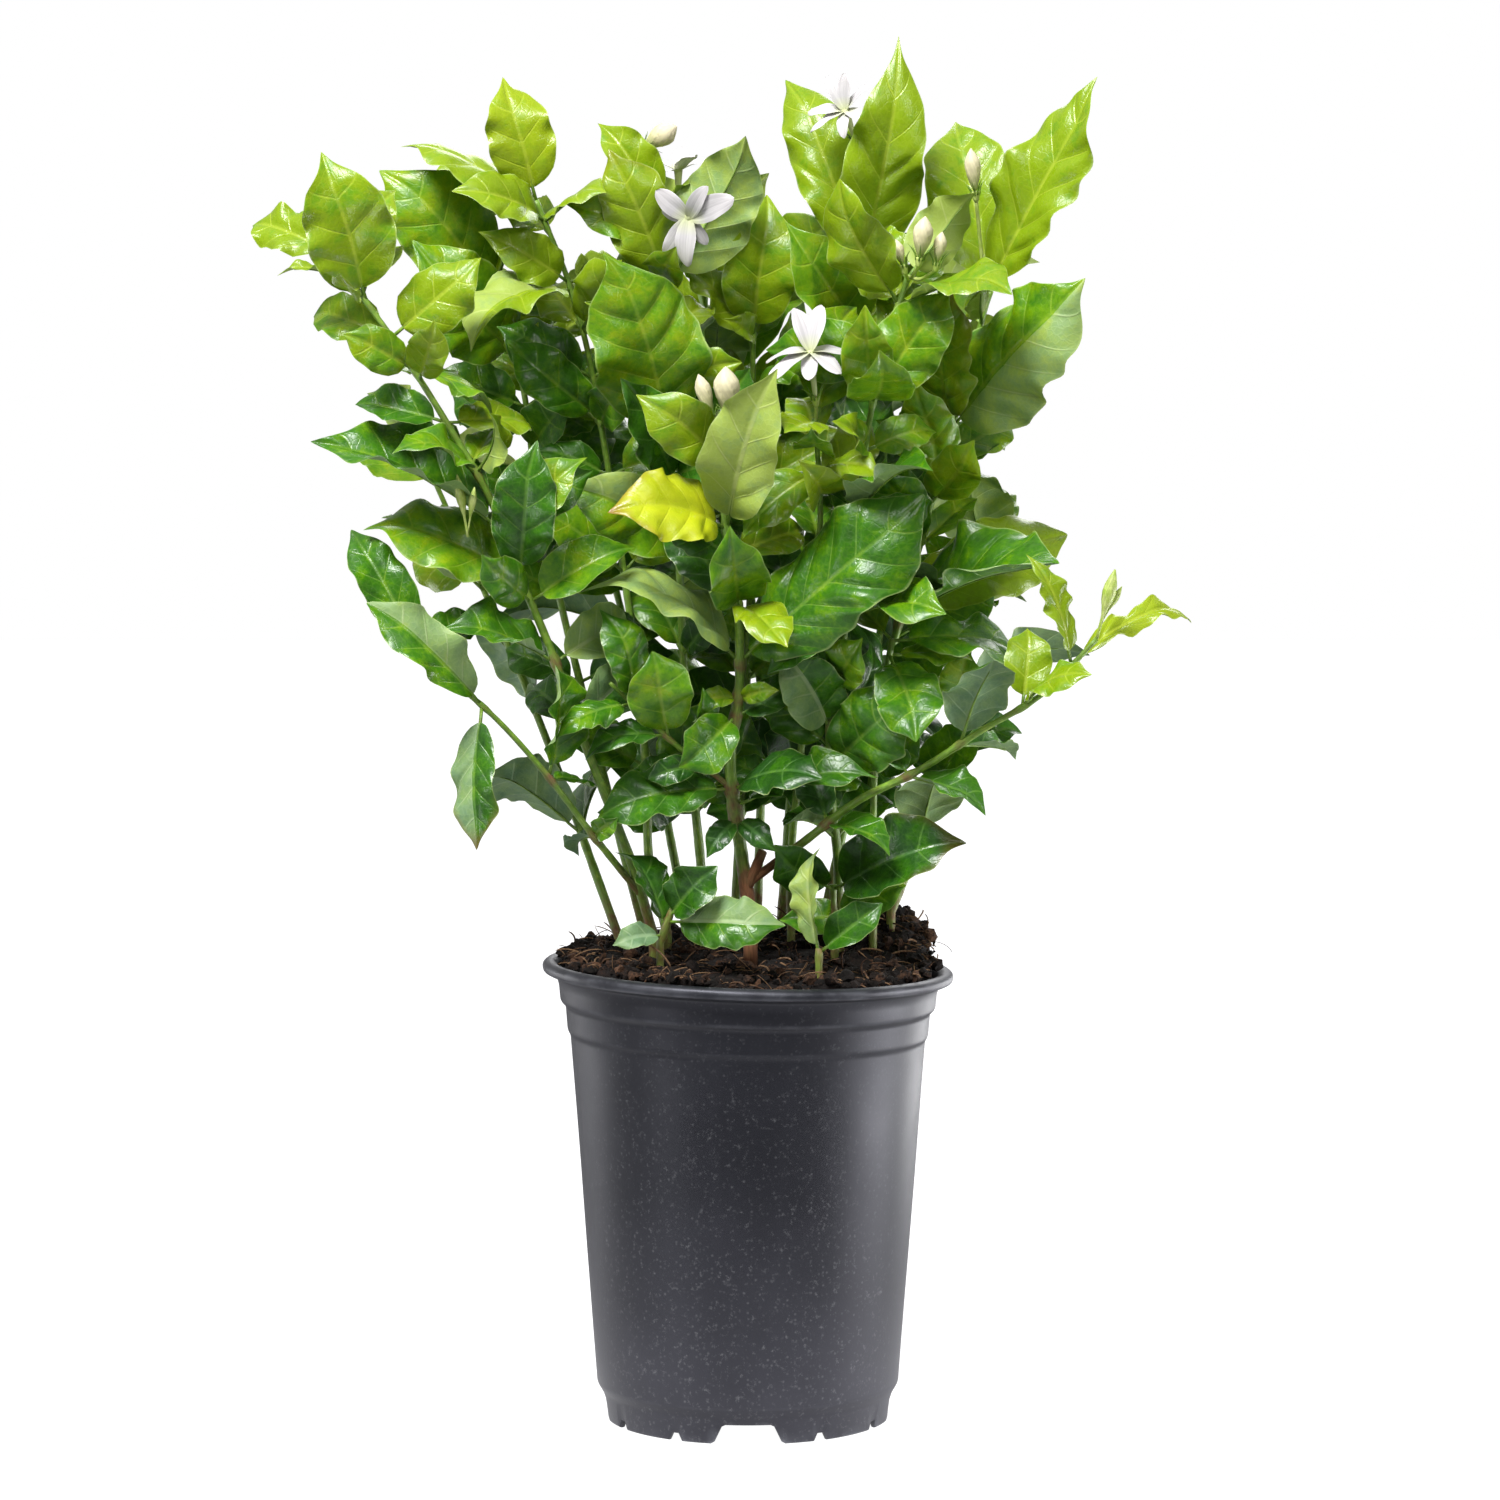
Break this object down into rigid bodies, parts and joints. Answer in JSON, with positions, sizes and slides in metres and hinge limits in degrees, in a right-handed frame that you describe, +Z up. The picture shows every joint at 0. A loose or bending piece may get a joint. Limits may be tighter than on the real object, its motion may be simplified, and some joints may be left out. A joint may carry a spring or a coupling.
{
  "type": "potted plant",
  "caption": "Bushy Arabian jasmine with glossy opposite leaves, white double flowers and cream buds, in a round black nursery pot of peat.",
  "frame": {"origin": "centre of the pot's foot, on the floor that it stands on", "axes": "+Z up along the pot's axis; -Y is the plant's best side, which faces the viewer; +X to that viewer's right"},
  "size_m": [0.3714, 0.196, 0.5709],
  "materials": {
    "pot_plastic": "satin charcoal polypropylene, scuffed on the rim",
    "peat": "dark fibrous peat, matt",
    "foliage": "glossy green leaves on green and brown stems",
    "petal": "white petals, softly matt",
    "bud": "cream buds, softly matt"
  },
  "bodies": {
    "root": {"bloom_back": "petal", "bloom_front": "petal", "bloom_left": "petal", "bloom_top": "petal", "bud_middle_large": "bud", "bud_middle_left": "bud", "bud_middle_right": "bud", "bud_right_inner": "bud", "bud_right_large": "bud", "bud_right_small": "bud", "bud_top_left": "bud", "bud_top_right": "bud", "pot": "pot_plastic", "soil": "peat", "stem_back_far_left": "foliage", "stem_back_far_right": "foliage", "stem_back_left": "foliage", "stem_back_middle": "foliage", "stem_back_right": "foliage", "stem_centre_back": "foliage", "stem_centre_front": "foliage", "stem_centre_left": "foliage", "stem_left_back": "foliage", "stem_left_high": "foliage", "stem_left_mid": "foliage", "stem_low_front": "foliage", "stem_low_pale": "foliage", "stem_low_right": "foliage", "stem_middle": "foliage", "stem_right_centre": "foliage", "stem_right_low": "foliage", "stem_top_middle": "foliage", "stem_top_right": "foliage"}
  },
  "joints": []
}
